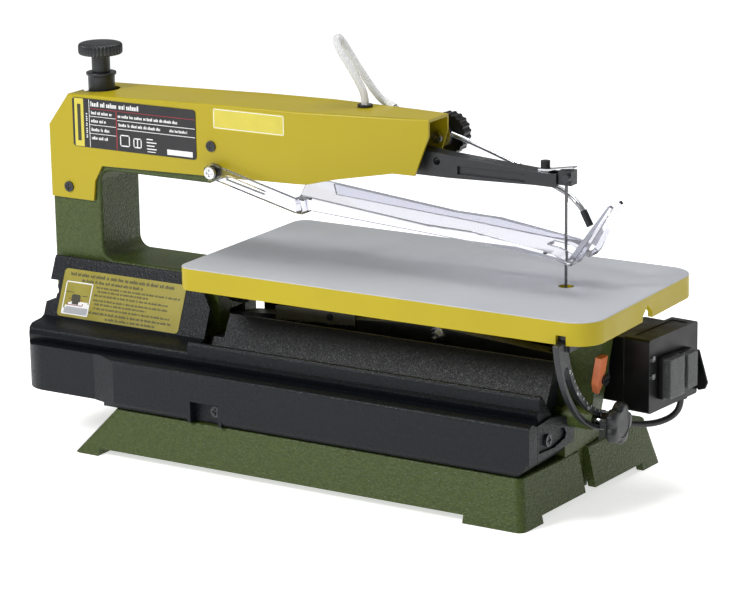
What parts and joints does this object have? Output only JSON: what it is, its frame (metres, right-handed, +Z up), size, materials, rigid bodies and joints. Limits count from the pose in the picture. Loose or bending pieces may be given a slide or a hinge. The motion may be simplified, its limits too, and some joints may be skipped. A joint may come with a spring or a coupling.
{
  "type": "scroll_saw",
  "caption": "Bench scroll saw with a green cast base, yellow arm cover, tilting grey table, black drive housing and a clear blade guard",
  "frame": {"origin": "centre of the bench-hole pattern, on the plane that the feet stand on", "axes": "+X from the column towards the operator at the blade end, +Y away from the drive housing, +Z up"},
  "size_m": [0.5429, 0.204, 0.3345],
  "materials": {
    "green_casting": "rough textured enamel on a casting",
    "yellow_shell": "smooth moulded shell",
    "table_paint": "light grey working face, yellow rim",
    "black_plastic": "fine grained moulding",
    "dark_metal": "dark grey cast alloy",
    "bright_steel": "bright machined steel",
    "plate_aluminium": "rolled plate",
    "bush_brass": "turned bush",
    "label_black": "printed foil",
    "label_yellow": "printed foil",
    "pointer_orange": "moulded pointer",
    "clear_plastic": "clear moulding",
    "cable_rubber": "soft black sheath"
  },
  "bodies": {
    "root": {"base_casting": "green_casting", "base_bolts": "bright_steel", "frame_casting": "green_casting", "pivot_pins": "bright_steel", "arm_cover": "yellow_shell", "cover_screws": "bright_steel", "rating_plate": "label_black", "drive_housing": "black_plastic", "far_cover": "black_plastic", "housing_screws": "bright_steel", "instruction_plate": "label_yellow", "motor_plate": "plate_aluminium", "motor_body": "bright_steel", "rear_guide_pin": "bright_steel", "clamp_stud": "bright_steel", "tilt_pointer": "pointer_orange", "pointer_screw": "bright_steel", "switch_box": "black_plastic", "switch_panel": "black_plastic", "box_screws": "bright_steel", "switch_bracket": "dark_metal", "switch_frames": "black_plastic", "switch_boots": "clear_plastic", "box_side_guard": "black_plastic", "cable_glands": "cable_rubber", "guard_boss": "clear_plastic", "guard_screw": "bright_steel", "air_tube": "bright_steel", "air_nozzle": "black_plastic", "air_tube_clamp": "bright_steel", "air_knob_stud": "bright_steel", "air_hose": "clear_plastic", "switch_cable": "cable_rubber", "hose_socket": "cable_rubber"},
    "upper_rocker": {"upper_arm": "dark_metal", "upper_arm_bush": "bush_brass", "arm_spring_plate": "bright_steel", "arm_front_screw": "bright_steel"},
    "lower_rocker": {"lower_arm": "dark_metal", "lower_arm_bush": "bush_brass", "crank_pin": "bright_steel", "lower_arm_screw": "bright_steel"},
    "blade_carrier": {"saw_blade": "bright_steel", "blade_holders": "dark_metal", "blade_clamp_screws": "bright_steel", "blade_pivot_pins": "bright_steel"},
    "tension_link": {"tension_rod": "bright_steel", "tension_pad": "black_plastic", "tension_collar": "bright_steel"},
    "tension_knob_body": {"tension_knob": "black_plastic"},
    "conrod": {"connecting_rod": "plate_aluminium"},
    "motor_rotor": {"motor_shaft": "bright_steel"},
    "table": {"saw_table": "table_paint", "front_trunnion": "dark_metal", "rear_trunnion": "dark_metal"},
    "clamp_knob": {"star_knob": "black_plastic"},
    "guard": {"blade_guard": "clear_plastic"},
    "air_knob_body": {"air_knob": "black_plastic"},
    "power_key": {"power_rocker": "black_plastic"},
    "speed_key": {"speed_rocker": "black_plastic"}
  },
  "joints": [
    {"name": "upper_arm_rock", "type": "hinge", "parent": "root", "child": "upper_rocker", "pos_m": [-0.2, 0, 0.248], "axis": [0, 1, 0], "range_deg": [-1.3, 1.3]},
    {"name": "lower_arm_rock", "type": "hinge", "parent": "root", "child": "lower_rocker", "pos_m": [-0.2, 0, 0.075], "axis": [0, 1, 0], "range_deg": [-1.3, 1.3]},
    {"name": "blade_link", "type": "hinge", "parent": "upper_rocker", "child": "blade_carrier", "pos_m": [0.172, 0, 0.243], "axis": [0, 1, 0], "range_deg": [-1.7, 1.7]},
    {"name": "tension_rod_link", "type": "hinge", "parent": "upper_rocker", "child": "tension_link", "pos_m": [-0.243, 0, 0.248], "axis": [0, 1, 0], "range_deg": [-1.35, 1.35]},
    {"name": "tension_knob_turn", "type": "hinge", "parent": "tension_link", "child": "tension_knob_body", "pos_m": [-0.243, 0, 0.3], "axis": [0, 0, 1], "continuous": true},
    {"name": "conrod_link", "type": "hinge", "parent": "lower_rocker", "child": "conrod", "pos_m": [-0.15, 0, 0.089], "axis": [0, 1, 0], "range_deg": [-1.35, 1.35]},
    {"name": "motor_spin", "type": "hinge", "parent": "root", "child": "motor_rotor", "pos_m": [-0.15, 0, 0.066], "axis": [0, 1, 0], "continuous": true},
    {"name": "table_tilt", "type": "hinge", "parent": "root", "child": "table", "pos_m": [0, 0, 0.159], "axis": [1, 0, 0], "range_deg": [0, 45]},
    {"name": "clamp_knob_turn", "type": "hinge", "parent": "root", "child": "clamp_knob", "pos_m": [0.24, -0.0279, 0.0707], "axis": [1, 0, 0], "continuous": true},
    {"name": "guard_lift", "type": "hinge", "parent": "root", "child": "guard", "pos_m": [-0.112, 0, 0.226], "axis": [0, -1, 0], "range_deg": [-3.5, 2.7]},
    {"name": "air_knob_turn", "type": "hinge", "parent": "root", "child": "air_knob_body", "pos_m": [0.064, 0, 0.262], "axis": [0, 1, 0], "continuous": true},
    {"name": "power_rocker_press", "type": "hinge", "parent": "root", "child": "power_key", "pos_m": [0.25, 0.001, 0.095], "axis": [0.1045, 0.9945, 0], "range_deg": [-7, 7]},
    {"name": "speed_rocker_press", "type": "hinge", "parent": "root", "child": "speed_key", "pos_m": [0.25, 0.001, 0.0965], "axis": [0.1045, 0.9945, 0], "range_deg": [-7, 7]}
  ],
  "couplings": [
    {"joint": "lower_arm_rock", "follows": "upper_arm_rock", "ratio": 1},
    {"joint": "blade_link", "follows": "upper_arm_rock", "ratio": -1.2536},
    {"joint": "tension_rod_link", "follows": "upper_arm_rock", "ratio": -1},
    {"joint": "conrod_link", "follows": "upper_arm_rock", "ratio": -1}
  ]
}
